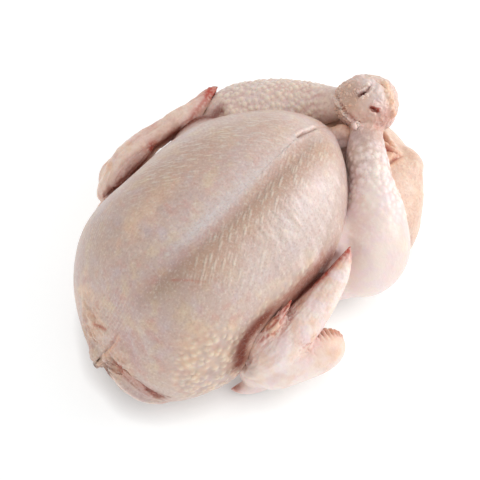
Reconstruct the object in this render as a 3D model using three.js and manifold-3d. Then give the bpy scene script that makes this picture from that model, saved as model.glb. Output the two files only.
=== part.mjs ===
// A whole raw turkey, dressed and lying on its back: neck end towards -X, tail towards +X, breast up.
// The carcass is one solid. Its breast and back, rump, legs, hocks, wings and neck skin are rounded
// bodies threaded on smooth spines, joined into one and cut flat where the bird lies on the floor.
// Millimetres, +Z up. The origin is on the floor under the middle of the bird. The -Y side has its
// wing laid open along the thigh, and the +Y side has its wing folded close against the breast.
import * as THREE from "three";
import { mergeVertices } from "three/addons/utils/BufferGeometryUtils.js";
import Module from "manifold-3d";

const NECK_X = -180; // front of the breast, at the neck
const BREAST_TIP_X = 113; // where the breast ends, above the vent
const TAIL_X = 182; // the end of the rump and tail
const BREAST_HALF_WIDTH = 91; // of the -Y side at its widest
const KNEE_RADIUS = 44; // the thick end of each drumstick
const HOCK_RADIUS = 27; // the swollen end of the upper leg, lying across the other
const WING_RADIUS = 19; // forearm of each wing
const KEEL_DEPTH = 7; // the valley along the keel, between the two breasts
const FLOOR = 0; // the height at which the back is pressed flat
const MIDDLE = [1, 4.85]; // x and y of the middle of the bird, with its wings, from the body's own

const wasm = await Module();
wasm.setup();

// The values at x of smooth curves through rows of [x, value, value, ...].
function through(rows, x) {
  const last = rows.length - 1;
  const after = rows.findIndex((row) => row[0] > x);
  const k = after < 0 ? last - 1 : Math.max(0, after - 1);
  const span = rows[k + 1][0] - rows[k][0];
  const t = THREE.MathUtils.clamp((x - rows[k][0]) / span, 0, 1);
  const slope = (i, c) => {
    const before = rows[Math.max(0, i - 1)];
    const next = rows[Math.min(last, i + 1)];
    return (next[c] - before[c]) / (next[0] - before[0]);
  };
  const t2 = t * t;
  const t3 = t2 * t;
  const at = (c) =>
    (2 * t3 - 3 * t2 + 1) * rows[k][c] +
    (t3 - 2 * t2 + t) * span * slope(k, c) +
    (3 * t2 - 2 * t3) * rows[k + 1][c] +
    (t3 - t2) * span * slope(k + 1, c);
  return rows[0].slice(1).map((_, i) => at(i + 1));
}

// A closed geometry as a solid ready for joining and cutting.
function solidOf(geometry) {
  geometry.deleteAttribute("normal");
  geometry.deleteAttribute("uv");
  const merged = mergeVertices(geometry, 1e-4);
  return new wasm.Manifold(
    new wasm.Mesh({
      numProp: 3,
      vertProperties: merged.getAttribute("position").array,
      triVerts: new Uint32Array(merged.index.array),
    }),
  );
}

// A sphere with each point moved by shape(along, angle): along runs from -1 to 1 between the poles
// and angle goes round them.
function rounded(around, rings, shape) {
  const sphere = new THREE.SphereGeometry(1, around, rings);
  const position = sphere.getAttribute("position");
  for (let i = 0; i < position.count; i++) {
    const angle = Math.atan2(position.getZ(i), position.getX(i));
    position.setXYZ(i, ...shape(-position.getY(i), angle));
  }
  return solidOf(sphere);
}

// How thick a body still is, from -1 to 1 along it: 2 gives a pointed egg's end, and more a blunter.
function fullness(along, blunt) {
  return Math.sqrt(Math.max(0, 1 - Math.abs(along) ** blunt));
}

// A limb on a spine of [x, y, z] points. sizes has rows of [share along, half width, half depth],
// and the depth is measured nearest to upright.
function limb({ spine, sizes, blunt = 4, around = 20, rings = 14 }) {
  const curve = new THREE.CatmullRomCurve3(spine.map((p) => new THREE.Vector3(...p)));
  return rounded(around, rings, (along, angle) => {
    const share = (along + 1) / 2;
    const ahead = curve.getTangentAt(share);
    const side = new THREE.Vector3(0, 0, 1).cross(ahead).normalize();
    const depth = new THREE.Vector3().crossVectors(ahead, side);
    const [halfWidth, halfDepth] = through(sizes, share);
    const full = fullness(along, blunt);
    return curve
      .getPointAt(share)
      .addScaledVector(side, Math.cos(angle) * halfWidth * full)
      .addScaledVector(depth, Math.sin(angle) * halfDepth * full)
      .toArray();
  });
}

// Breast and back. Rows: x, height of the widest line, rise above it, drop below it, y of the
// middle, half width on the -Y side, half width on the +Y side, and y of the keel.
const W = BREAST_HALF_WIDTH;
const BREAST_ROWS = [
  [NECK_X, 28, 70, 30, -14, 74, 74, -6],
  [-157, 38, 84, 42, -10, 84, 98, -8],
  [-133, 48, 95, 56, -7, 88, 104, -10],
  [-110, 54, 98, 62, -4, W + 1, 104, -12],
  [-60, 62, 98, 70, 0, W, 100, -16],
  [0, 68, 93, 76, 0, W - 3, 98, -14],
  [45, 74, 86, 72, 0, 80, 94, -8],
  [85, 80, 76, 60, 6, 70, 84, 2],
  [BREAST_TIP_X, 86, 62, 50, 14, 58, 58, 12],
];
const KEEL = { halfWidth: 15, from: -135, to: 75, fades: 25 };
const SQUARENESS = 0.92; // below 1, the section is a little squarer than an ellipse

function breast() {
  const middle = (NECK_X + BREAST_TIP_X) / 2;
  const half = (BREAST_TIP_X - NECK_X) / 2;
  const { smoothstep } = THREE.MathUtils;
  return rounded(56, 36, (along, angle) => {
    const x = middle + half * along;
    const [widest, rise, drop, middleY, near, far, keelY] = through(BREAST_ROWS, x);
    const full = fullness(along, along < 0 ? 3.6 : 2.4);
    const across = Math.sign(Math.cos(angle)) * Math.abs(Math.cos(angle)) ** SQUARENESS;
    const up = Math.sign(Math.sin(angle)) * Math.abs(Math.sin(angle)) ** SQUARENESS;
    const y = middleY + across * (across < 0 ? near : far) * full;
    const begun = smoothstep(x, KEEL.from - KEEL.fades, KEEL.from + KEEL.fades);
    const ended = smoothstep(x, KEEL.to - KEEL.fades, KEEL.to + KEEL.fades);
    const valley = Math.exp(-(((y - keelY) / KEEL.halfWidth) ** 2)) * begun * (1 - ended);
    const z = widest + up * (up < 0 ? drop : rise) * full - KEEL_DEPTH * valley * Math.max(0, up);
    return [x, y, z];
  });
}

// The rump under the legs, ending in the tail.
function rump() {
  return limb({
    spine: [[-20, -2, 42], [60, -3, 42], [120, -5, 42], [TAIL_X, -8, 44]],
    sizes: [[0, 80, 42], [0.4, 92, 44], [0.75, 92, 42], [1, 72, 36]],
    around: 28,
    rings: 18,
  });
}

// The skin of the neck, rolled under the front of the breast.
function neckSkin() {
  return limb({
    spine: [[-140, 34, 24], [-155, 4, 20], [-152, -28, 18], [-132, -56, 18]],
    sizes: [[0, 14, 16], [0.35, 17, 18], [0.7, 18, 18], [1, 15, 16]],
  });
}

// A drumstick's sizes, from its thick end at the knee to its shank, which ends in the radius given.
const K = KNEE_RADIUS;
const drumstickSizes = (shank) => [
  [0, K - 10, K - 10],
  [0.3, K, K],
  [0.5, 0.74 * K, 0.74 * K],
  [0.68, 0.54 * K, 0.54 * K],
  [0.85, 0.4 * K, 0.4 * K],
  [1, shank, shank],
];

function nearLeg() {
  const thigh = limb({
    spine: [[-24, -40, 60], [24, -56, 58], [84, -62, 50]],
    sizes: [[0, 34, 34], [0.5, 40, 40], [1, 34, 34]],
  });
  const drumstick = limb({
    spine: [[22, -70, 42], [62, -84, 48], [88, -71, 68], [106, -50, 82], [118, -32, 90], [132, -12, 97]],
    sizes: drumstickSizes(15),
    around: 24,
    rings: 18,
  });
  return [thigh, drumstick];
}

function farLeg() {
  const thigh = limb({
    spine: [[-10, 62, 62], [30, 78, 56], [66, 88, 50]],
    sizes: [[0, 38, 38], [0.5, 42, 42], [1, 38, 38]],
  });
  const drumstick = limb({
    spine: [[36, 84, 48], [72, 88, 54], [100, 72, 72], [122, 50, 84], [136, 28, 95], [146, 8, 104]],
    sizes: drumstickSizes(20),
    around: 24,
    rings: 18,
  });
  const hock = limb({
    spine: [[130, 28, 99], [150, 2, 105], [167, -22, 103]],
    sizes: [[0, 20, 18], [0.5, HOCK_RADIUS, HOCK_RADIUS - 3], [1, HOCK_RADIUS - 3, HOCK_RADIUS - 5]],
    blunt: 3,
  });
  return [thigh, drumstick, hock];
}

// Each wing is folded in three: upper arm back along the floor, forearm forward again to the wrist,
// and hand back to its pointed tip, with a small thumb standing off its inner edge.
function nearWing() {
  const upperArm = limb({
    spine: [[-108, -74, 34], [-70, -98, 22], [-16, -118, 20]],
    sizes: [[0, 18, 20], [0.5, 17, 18], [1, 17, 17]],
  });
  const forearm = limb({
    spine: [[-4, -122, 22], [-36, -116, 28], [-84, -96, 36]],
    sizes: [[0, WING_RADIUS - 3, 16], [0.5, WING_RADIUS, 19], [1, WING_RADIUS + 2, 21]],
  });
  const hand = limb({
    spine: [[-96, -92, 36], [-66, -98, 50], [-38, -98, 62], [4, -95, 76], [42, -86, 90]],
    sizes: [[0, 16, 16], [0.3, 17, 14], [0.65, 13, 9], [1, 4, 3]],
    blunt: 3.4,
  });
  const thumb = limb({
    spine: [[-62, -94, 52], [-44, -86, 60], [-26, -80, 67]],
    sizes: [[0, 8, 8], [0.5, 7, 6], [1, 3, 3]],
    around: 12,
    rings: 10,
  });
  return [upperArm, forearm, hand, thumb];
}

function farWing() {
  const upperArm = limb({
    spine: [[-104, 76, 50], [-50, 106, 40], [20, 118, 36]],
    sizes: [[0, 22, 22], [0.5, 18, 18], [1, 16, 16]],
  });
  const forearm = limb({
    spine: [[30, 120, 42], [-20, 130, 50], [-62, 130, 58]],
    sizes: [[0, WING_RADIUS - 2, 17], [0.5, 14, 14], [1, 16, 16]],
  });
  const hand = limb({
    spine: [[-66, 128, 60], [-30, 130, 66], [20, 126, 74], [79, 126, 84]],
    sizes: [[0, 14, 15], [0.3, 10, 13], [0.65, 7, 12], [1, 3, 4]],
    blunt: 3.4,
  });
  return [upperArm, forearm, hand];
}

const UNDER = 400; // size of the block taken away below the floor
const under = new THREE.BoxGeometry(2 * UNDER, 2 * UNDER, UNDER);
under.translate(0, 0, FLOOR - UNDER / 2);

const bodies = [breast(), rump(), neckSkin(), ...nearLeg(), ...farLeg(), ...nearWing(), ...farWing()];
const joined = wasm.Manifold.union(bodies).subtract(solidOf(under)).getMesh();

const skin = new THREE.BufferGeometry();
skin.setAttribute("position", new THREE.BufferAttribute(joined.vertProperties, 3));
skin.setIndex(new THREE.BufferAttribute(joined.triVerts, 1));
skin.translate(-MIDDLE[0], -MIDDLE[1], 0);

// Raw skin: pale pink, a little cream, and damp.
const rawSkin = new THREE.MeshStandardMaterial({ color: 0xdcc2b6, roughness: 0.42, metalness: 0 });
const turkey = new THREE.Mesh(skin, rawSkin);
turkey.name = "whole_turkey";

const group = new THREE.Group();
group.add(turkey);
export default group;
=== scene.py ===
"""A whole raw turkey lying on its back on a white table, neck end towards the viewer's left.

Lengths in the sections are in millimetres from the middle of the bird on the table, and MM turns
them into metres. -X is the neck end, +X the tail, -Y the near side and +Z up, out of the breast.
"""

import math

import bmesh
import bpy
import numpy as np
from mathutils import Euler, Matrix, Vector
from mathutils.kdtree import KDTree


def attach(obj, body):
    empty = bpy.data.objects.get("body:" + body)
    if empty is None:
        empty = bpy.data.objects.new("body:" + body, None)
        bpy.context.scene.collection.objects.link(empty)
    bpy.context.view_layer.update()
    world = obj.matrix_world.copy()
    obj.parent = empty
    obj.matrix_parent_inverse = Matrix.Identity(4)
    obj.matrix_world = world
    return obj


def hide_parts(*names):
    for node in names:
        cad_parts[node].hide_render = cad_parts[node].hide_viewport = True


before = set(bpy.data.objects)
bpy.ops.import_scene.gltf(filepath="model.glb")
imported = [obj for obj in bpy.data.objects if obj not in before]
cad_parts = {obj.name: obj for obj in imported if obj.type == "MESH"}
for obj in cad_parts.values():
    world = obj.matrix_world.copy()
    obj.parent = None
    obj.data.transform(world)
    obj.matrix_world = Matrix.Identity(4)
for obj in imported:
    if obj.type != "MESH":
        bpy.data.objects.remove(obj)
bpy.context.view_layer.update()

# ------------------------------------------------------------------------------------------------
# The white table that the bird lies on, with soft daylight all round and one large soft lamp high
# on the viewer's right, and the camera looking down over the near side of the neck end.

MM = 0.001
TABLE_SIZE = 8.0
AIM = Vector((-0.022, -0.01485, 0.075))
AZIMUTH = math.radians(-44)
ELEVATION = math.radians(57)
DISTANCE = 1.05
LENS = 90.0
SENSOR_WIDTH = 36.0
NEAREST_SEEN = 0.01
LAMP_PLACE = Vector((1.3, -0.85, 0.7))
LAMP_SIZE = 0.9
LAMP_WATTS = 11.5
LAMP_COLOUR = (1.0, 0.993, 0.975)
DAYLIGHT_COLOUR = (0.985, 0.988, 0.99, 1.0)
DAYLIGHT_STRENGTH = 0.775
TABLE_COLOUR = (0.68, 0.7, 0.7, 1.0)
TABLE_ROUGHNESS = 0.9
TABLE_GLOW = 0.5
SHADOW_REACH = 0.025
SHADOW_LEAN = (0.68, -0.3, 0.67)
FULL_SHADOW_AT = 0.25
GLOW_IN_SHADOW = 0.25

away = Vector(
    (
        math.sin(AZIMUTH) * math.cos(ELEVATION),
        -math.cos(AZIMUTH) * math.cos(ELEVATION),
        math.sin(ELEVATION),
    )
)
camera_data = bpy.data.cameras.new("camera")
camera_data.lens = LENS
camera_data.sensor_width = SENSOR_WIDTH
camera_data.clip_start = NEAREST_SEEN
camera = bpy.data.objects.new("camera", camera_data)
camera.location = AIM + away * DISTANCE
camera.rotation_euler = away.to_track_quat("Z", "Y").to_euler()
bpy.context.collection.objects.link(camera)
bpy.context.scene.camera = camera
bpy.context.scene.view_settings.view_transform = "Standard"

lamp_data = bpy.data.lights.new("key lamp", "AREA")
lamp_data.shape = "SQUARE"
lamp_data.size = LAMP_SIZE
lamp_data.energy = LAMP_WATTS
lamp_data.color = LAMP_COLOUR
lamp = bpy.data.objects.new("key lamp", lamp_data)
lamp.location = LAMP_PLACE
lamp.rotation_euler = (LAMP_PLACE - AIM).to_track_quat("Z", "Y").to_euler()
bpy.context.collection.objects.link(lamp)

daylight = bpy.data.worlds.new("daylight")
daylight.use_nodes = True
background = daylight.node_tree.nodes["Background"]
background.inputs["Color"].default_value = DAYLIGHT_COLOUR
background.inputs["Strength"].default_value = DAYLIGHT_STRENGTH
bpy.context.scene.world = daylight

sheet = bmesh.new()
bmesh.ops.create_grid(sheet, x_segments=1, y_segments=1, size=TABLE_SIZE / 2)
table_mesh = bpy.data.meshes.new("table")
sheet.to_mesh(table_mesh)
sheet.free()
table = bpy.data.objects.new("table", table_mesh)
bpy.context.collection.objects.link(table)
white = bpy.data.materials.new("white table")
white.use_nodes = True
white_nodes = white.node_tree.nodes
sheen = white_nodes["Principled BSDF"]
sheen.inputs["Base Color"].default_value = TABLE_COLOUR
sheen.inputs["Roughness"].default_value = TABLE_ROUGHNESS
sheen.inputs["Emission Strength"].default_value = TABLE_GLOW
# The table's glow dims close round the bird, and most on the side away from the lamp: a painted shadow, which
# keeps the bird's soft shadow dark there.
nearness = white_nodes.new("ShaderNodeAmbientOcclusion")
nearness.inputs["Distance"].default_value = SHADOW_REACH
lean = white_nodes.new("ShaderNodeCombineXYZ")
for axis, share in zip("XYZ", SHADOW_LEAN):
    lean.inputs[axis].default_value = share
white.node_tree.links.new(lean.outputs["Vector"], nearness.inputs["Normal"])
dimming = white_nodes.new("ShaderNodeMapRange")
dimming.inputs["From Min"].default_value = FULL_SHADOW_AT
dimming.inputs["To Min"].default_value = GLOW_IN_SHADOW
white.node_tree.links.new(nearness.outputs["AO"], dimming.inputs["Value"])
white.node_tree.links.new(dimming.outputs["Result"], sheen.inputs["Emission Color"])
table_mesh.materials.append(white)

# ------------------------------------------------------------------------------------------------
# Breast and back: two thick lobes of meat on either side of the keel bone, under one pale plucked
# skin. The skin is one closed piece: rounded bodies on smooth spines are joined by a voxel remesh,
# relaxed, and then sculpted and tinted point by point.

BODY_MIDDLE = np.array([1.0, 4.85, 0.0])
NECK_X = -180.0
BREAST_TIP_X = 113.0
BREAST_ROWS = [
    [NECK_X, 28, 70, 30, -14, 74, 74, -6],
    [-157, 38, 84, 42, -10, 84, 98, -8],
    [-133, 48, 95, 56, -7, 88, 104, -10],
    [-110, 54, 98, 62, -4, 92, 104, -12],
    [-60, 62, 98, 70, 0, 91, 100, -16],
    [0, 68, 93, 76, 0, 88, 98, -14],
    [45, 74, 86, 72, 0, 80, 94, -8],
    [85, 80, 76, 60, 6, 70, 84, 2],
    [BREAST_TIP_X, 86, 62, 50, 14, 58, 58, 12],
]
KEEL_DEPTH = 7.0
KEEL_HALF_WIDTH = 15.0
KEEL_FROM, KEEL_TO, KEEL_FADES = -135.0, 75.0, 25.0
SQUARENESS = 0.92
chance = np.random.default_rng(7)


def through(rows, x):
    """The values at x of smooth curves through rows of [x, value, value, ...], one row per x."""
    rows = np.array(rows, float)
    x = np.clip(np.atleast_1d(x), rows[0, 0], rows[-1, 0])
    places, values = rows[:, 0], rows[:, 1:]
    slopes = np.empty_like(values)
    slopes[1:-1] = (values[2:] - values[:-2]) / (places[2:] - places[:-2])[:, None]
    slopes[0] = (values[1] - values[0]) / (places[1] - places[0])
    slopes[-1] = (values[-1] - values[-2]) / (places[-1] - places[-2])
    k = np.clip(np.searchsorted(places, x, side="right") - 1, 0, len(rows) - 2)
    span = (places[k + 1] - places[k])[:, None]
    t = (x - places[k])[:, None] / span
    return (
        (2 * t**3 - 3 * t**2 + 1) * values[k]
        + (t**3 - 2 * t**2 + t) * span * slopes[k]
        + (3 * t**2 - 2 * t**3) * values[k + 1]
        + (t**3 - t**2) * span * slopes[k + 1]
    )


def smooth(x, low, high):
    """0 below low, 1 above high, and smooth between."""
    t = np.clip((x - low) / (high - low), 0, 1)
    return t * t * (3 - 2 * t)


def fullness(along, blunt):
    """How thick a body still is, from -1 to 1 along it: 2 is an egg's end, and more is blunter."""
    return np.sqrt(np.maximum(0, 1 - np.abs(along) ** blunt))


def breast_shape(along, angle):
    middle, half = (NECK_X + BREAST_TIP_X) / 2, (BREAST_TIP_X - NECK_X) / 2
    x = middle + half * along
    widest, rise, drop, middle_y, near, far, keel_y = through(BREAST_ROWS, x).T
    full = np.where(along < 0, fullness(along, 3.6), fullness(along, 2.4))
    across = np.sign(np.cos(angle)) * np.abs(np.cos(angle)) ** SQUARENESS
    up = np.sign(np.sin(angle)) * np.abs(np.sin(angle)) ** SQUARENESS
    y = middle_y + across * np.where(across < 0, near, far) * full
    begun = smooth(x, KEEL_FROM - KEEL_FADES, KEEL_FROM + KEEL_FADES)
    ended = smooth(x, KEEL_TO - KEEL_FADES, KEEL_TO + KEEL_FADES)
    valley = np.exp(-(((y - keel_y) / KEEL_HALF_WIDTH) ** 2)) * begun * (1 - ended)
    z = widest + up * np.where(up < 0, drop, rise) * full - KEEL_DEPTH * valley * np.maximum(0, up)
    return np.stack([x, y, z], 1) - BODY_MIDDLE


def on_spine(points, share):
    """Places and directions on a smooth curve through points, by share of its length."""
    points = np.array(points, float)
    ends = [2 * points[0] - points[1], *points, 2 * points[-1] - points[-2]]
    fine = []
    for a, b, c, d in zip(ends, ends[1:], ends[2:], ends[3:]):
        knots = np.cumsum([0] + [np.linalg.norm(v - u) ** 0.5 for u, v in ((a, b), (b, c), (c, d))])
        t = np.linspace(knots[1], knots[2], 40, endpoint=c is ends[-2])[:, None]

        def between(u, v, i, j):
            return ((knots[j] - t) * u + (t - knots[i]) * v) / (knots[j] - knots[i])

        ab, bc, cd = between(a, b, 0, 1), between(b, c, 1, 2), between(c, d, 2, 3)
        fine.append(between(between(ab, bc, 0, 2), between(bc, cd, 1, 3), 1, 2))
    fine = np.concatenate(fine)
    run = np.concatenate([[0], np.cumsum(np.linalg.norm(np.diff(fine, axis=0), axis=1))])
    place = lambda s: np.stack([np.interp(s * run[-1], run, fine[:, k]) for k in range(3)], 1)
    ahead = place(np.minimum(share + 0.01, 1)) - place(np.maximum(share - 0.01, 0))
    return place(share), ahead / np.linalg.norm(ahead, axis=1, keepdims=True)


def limb_shape(spine, sizes, blunt=4.0):
    """A rounded body on a spine. sizes: rows of [share along, half width, half depth]."""

    def shape(along, angle):
        share = (along + 1) / 2
        centre, ahead = on_spine(spine, share)
        side = np.cross([0, 0, 1], ahead)
        side /= np.linalg.norm(side, axis=1, keepdims=True)
        depth = np.cross(ahead, side)
        half_width, half_depth = through(sizes, share).T
        full = fullness(along, blunt)
        out = side * (np.cos(angle) * half_width * full)[:, None]
        return centre + out + depth * (np.sin(angle) * half_depth * full)[:, None] - BODY_MIDDLE

    return shape


def add_rounded(bm, shape, cuts=2):
    """A ball in bm with each point moved by shape(along, angle): along is -1 to 1 between poles."""
    ball = bmesh.new()
    bmesh.ops.create_uvsphere(ball, u_segments=40, v_segments=28, radius=1)
    bmesh.ops.subdivide_edges(ball, edges=ball.edges[:], cuts=cuts, use_grid_fill=True)
    at = np.array([vert.co.normalized() for vert in ball.verts])
    moved = shape(np.clip(at[:, 2], -1, 1), np.arctan2(at[:, 1], at[:, 0])) * MM
    for vert, place in zip(ball.verts, moved):
        vert.co = place
    bmesh.ops.recalc_face_normals(ball, faces=ball.faces[:])
    passing = bpy.data.meshes.new("passing")
    ball.to_mesh(passing)
    ball.free()
    bm.from_mesh(passing)
    bpy.data.meshes.remove(passing)


TURNED = np.array(Euler((0.6, 0.5, 0.8)).to_matrix())


def cloud(p, size, seed=0):
    """Smooth noise from about -1 to 1 at each point of p, with lumps about size across."""
    total = np.zeros(len(p))
    for octave in range(2):
        q = (p @ TURNED + octave * 5.3) * 1.9**octave / size + seed * 17.3
        cell = np.floor(q).astype(np.int64)
        t = q - cell
        t = t * t * (3 - 2 * t)
        for corner in np.ndindex(2, 2, 2):
            c = cell + corner
            h = c[:, 0] * 73856093 ^ c[:, 1] * 19349663 ^ c[:, 2] * 83492791 ^ seed * 2654435
            h = (h ^ (h >> 13)) * 1274126177 & 0x7FFFFFFF
            share = np.prod(np.where(corner, t, 1 - t), axis=1)
            total += 0.9 * 0.5**octave * share * ((h ^ (h >> 16)) % 65536 / 32767.5 - 1)
    return total


def strands(line, length, width, seed):
    """Noise from about -1 to 1 drawn out along a line, each strand about length by width."""
    _, side, share = line
    run = share * 100
    return cloud(np.stack([run / length, side / width, run * 0], 1) @ TURNED.T, 1.0, seed)


# Tints painted on the skin. The grey-brown and dark red ones also serve as painted shade, and the pale ones
# as painted highlight at a few places.
TINTS = ["pimple", "blood", "fat", "milky", "dusk", "pale", "deep", "streaks", "arcs", "smoothed"]
TINTS += ["along", "across", "ripple"]


def beside(line, width, off=0.0):
    """1 along a line, or off to its left on the skin, fading over width. Below 0 is to its right."""
    far, side, _ = line
    return np.exp(-(far**2 - side**2 + (side - off) ** 2) / width**2)


def tree_of(centres):
    """The centres as a tree, in which the nearest ones to a place are found quickly."""
    tree = KDTree(len(centres))
    for k, centre in enumerate(centres):
        tree.insert(centre, k)
    tree.balance()
    return tree


class Skin:
    """A piece's skin as arrays of points in millimetres, which sculpting moves and tints."""

    def __init__(self, name, bm, voxel):
        lumps = bpy.data.meshes.new(name + " lumps")
        bm.to_mesh(lumps)
        bm.free()
        self.piece = bpy.data.objects.new(name, lumps)
        bpy.context.collection.objects.link(self.piece)
        join = self.piece.modifiers.new("join", "REMESH")
        join.mode = "VOXEL"
        join.voxel_size = voxel * MM
        self._take_result(name)
        self.tints = {}
        self._read()

    def _read(self):
        """Reads the mesh's points and edges into arrays."""
        count = len(self.mesh.vertices)
        self.p = np.empty(count * 3)
        self.mesh.vertices.foreach_get("co", self.p)
        self.p = self.p.reshape(-1, 3) / MM
        ends = np.empty(len(self.mesh.edges) * 2, np.int64)
        self.mesh.edges.foreach_get("vertices", ends)
        self.a, self.b = ends.reshape(-1, 2).T
        self.links = np.bincount(self.a, minlength=count) + np.bincount(self.b, minlength=count)
        self.settle()

    def refine(self, where):
        """Splits the faces in where in four, so that finer things can be sculpted there."""
        fine = bmesh.new()
        fine.from_mesh(self.mesh)
        edges = [edge for edge in fine.edges if all(where[vert.index] for vert in edge.verts)]
        bmesh.ops.subdivide_edges(fine, edges=edges, cuts=1, use_grid_fill=True)
        fine.to_mesh(self.mesh)
        fine.free()
        self._read()

    def _take_result(self, name):
        graph = bpy.context.evaluated_depsgraph_get()
        self.mesh = bpy.data.meshes.new_from_object(self.piece.evaluated_get(graph))
        self.mesh.name = name
        self.piece.modifiers.clear()
        self.piece.data = self.mesh

    def settle(self):
        """Lets nothing sink through the table, and finds the directions out of the skin afresh."""
        self.p[:, 2] = np.maximum(self.p[:, 2], 0)
        self.mesh.vertices.foreach_set("co", (self.p * MM).ravel())
        self.mesh.update()
        self.n = np.empty(len(self.p) * 3)
        self.mesh.vertex_normals.foreach_get("vector", self.n)
        self.n = self.n.reshape(-1, 3)

    def around(self, values):
        """The mean of the neighbours' values at each point."""
        n = len(self.p)
        if values.ndim == 1:
            at_a = np.bincount(self.a, values[self.b], n)
            return (at_a + np.bincount(self.b, values[self.a], n)) / self.links
        return np.stack([self.around(values[:, k]) for k in range(values.shape[1])], 1)

    def relax(self, times, where=1.0):
        where = np.broadcast_to(where, len(self.p))[:, None]
        for _ in range(times):
            self.p += 0.6 * where * (self.around(self.p) - self.p)
        self.settle()

    def push(self, height):
        """Moves each point out of the skin by its height, or in where that is negative."""
        self.p += self.n * np.asarray(height)[:, None]
        self.settle()

    def spot(self, centre, radius):
        """1 at centre and fading to 0 round it. radius is one size, or one each way."""
        off = (self.p - np.array(centre)) / np.array(radius)
        return np.exp(-(off**2).sum(1))

    def line(self, points):
        """Distance from a line through points, its signed side on the skin, and share along it."""
        points = np.array(points, float)
        path, _ = on_spine(points, np.linspace(0, 1, 24 * len(points)))
        best = np.full(len(self.p), np.inf)
        side = np.zeros(len(self.p))
        share = np.zeros(len(self.p))
        reach = np.linalg.norm(self.p - path.mean(0), axis=1)
        near = reach < np.linalg.norm(path - path.mean(0), axis=1).max() + 40
        p, n = self.p[near], self.n[near]
        b, s, f = best[near], side[near], share[near]
        for k in range(len(path) - 1):
            step = path[k + 1] - path[k]
            t = np.clip((p - path[k]) @ step / (step @ step), 0, 1)
            off = p - path[k] - t[:, None] * step
            depth = (off * n).sum(1)
            spared = np.clip(depth, -4, 4)
            far = np.sqrt(np.maximum(0, (off**2).sum(1) - depth**2 + (depth - spared) ** 2))
            closer = far < b
            b[closer] = far[closer]
            cross = np.cross(n[closer], step / np.linalg.norm(step))
            s[closer] = (off[closer] * cross).sum(1)
            f[closer] = (k + t[closer]) / (len(path) - 1)
        best[near], side[near], share[near] = b, s, f
        return best, side, share

    def grain(self, where, ahead, across):
        """Sets which way streaks run at the points in where, as distances along two directions."""
        for name, way in (("along", ahead), ("across", across)):
            had = self.tints.get(name, np.zeros(len(self.p)))
            way = np.array(way, float) / np.linalg.norm(way)
            self.tints[name] = np.where(where, self.p @ way, had)

    def tint(self, **amounts):
        """Adds to each named tint's strength at each point, never past 0 or 1."""
        for name, amount in amounts.items():
            had = self.tints.get(name, np.zeros(len(self.p)))
            self.tints[name] = np.clip(had + amount, 0, 1)

    def cells(self, centres, where, places):
        """How far each point in where, taken to be at its place, is from its cell's border."""
        tree = tree_of(centres)
        inside = np.zeros(len(self.p))
        for k in np.flatnonzero(where > 0.03):
            (_, _, near), (_, _, next_near) = tree.find_n(places[k], 2)
            inside[k] = next_near - near
        return inside

    def pimples(self, centres, width, height, where, shade="pimple"):
        """Raises a small round bump on each centre, and tints its top with the tint called shade."""
        tree = tree_of(centres)
        used = np.flatnonzero(where > 0.03)
        nearest = np.array([tree.find(place)[1] for place in self.p[used]])
        off = self.p[used] - centres[nearest]
        off -= self.n[used] * (off * self.n[used]).sum(1)[:, None]
        far = (off**2).sum(1)
        size = 0.75 + 0.5 * np.random.default_rng(len(centres)).random(len(centres))[nearest]
        top = np.zeros(len(self.p))
        top[used] = np.exp(-far / (width * size) ** 2) * where[used] * size
        self.push(top * height)
        self.tint(**{shade: top})
        return top

    def finish(self, most=195000):
        """Writes the tints to the mesh, thins it if it has too many triangles, and puts it in place."""
        for name in TINTS:
            layer = self.mesh.attributes.new(name, "FLOAT", "POINT")
            layer.data.foreach_set("value", self.tints.get(name, np.zeros(len(self.p))))
        triangles = 2 * len(self.mesh.polygons)
        if triangles > most:
            thin = self.piece.modifiers.new("thin", "DECIMATE")
            thin.ratio = most / triangles
            self._take_result(self.mesh.name)
        self.mesh.polygons.foreach_set("use_smooth", np.ones(len(self.mesh.polygons), bool))
        self.mesh.materials.clear()
        self.mesh.materials.append(raw_skin)
        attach(self.piece, "root")
        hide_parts("whole_turkey")


def rows_of_pores(shape, low, high, spacing, jitter=0.3):
    """Places in staggered rows round a body, where its feathers grew."""
    found = []
    along = low
    row = 0
    while along < high:
        angles = np.linspace(0, 2 * math.pi, 240)
        ring = shape(np.full(240, along), angles)
        run = np.concatenate([[0], np.cumsum(np.linalg.norm(np.diff(ring, axis=0), axis=1))])
        count = max(3, int(run[-1] / spacing))
        wanted = (np.arange(count) + 0.5 * (row % 2) + chance.normal(0, jitter / 2, count)) * run[-1] / count
        at = np.interp(wanted, run, angles)
        ahead = shape(np.full(1, along + 0.01), np.full(1, math.pi / 2))
        here = shape(np.full(1, along), np.full(1, math.pi / 2))
        step = 0.01 * spacing * 0.87 / max(np.linalg.norm(ahead - here), 0.3)
        found.append(shape(np.full(count, along) + chance.normal(0, jitter / 2, count) * step, at))
        along += min(step, 0.05)
        row += 1
    return np.concatenate(found)


class Amount:
    """A shader value, so that its maths reads as plain expressions."""

    def __init__(self, recipe, socket):
        self.recipe, self.socket = recipe, socket

    def _maths(self, operation, *terms):
        return self.recipe.add("ShaderNodeMath", {"operation": operation}, dict(enumerate(terms)))

    def __add__(self, other):
        return self._maths("ADD", self, other)

    __radd__ = __add__

    def __sub__(self, other):
        return self._maths("SUBTRACT", self, other)

    def __rsub__(self, other):
        return self._maths("SUBTRACT", other, self)

    def __mul__(self, other):
        return self._maths("MULTIPLY", self, other)

    __rmul__ = __mul__


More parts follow.
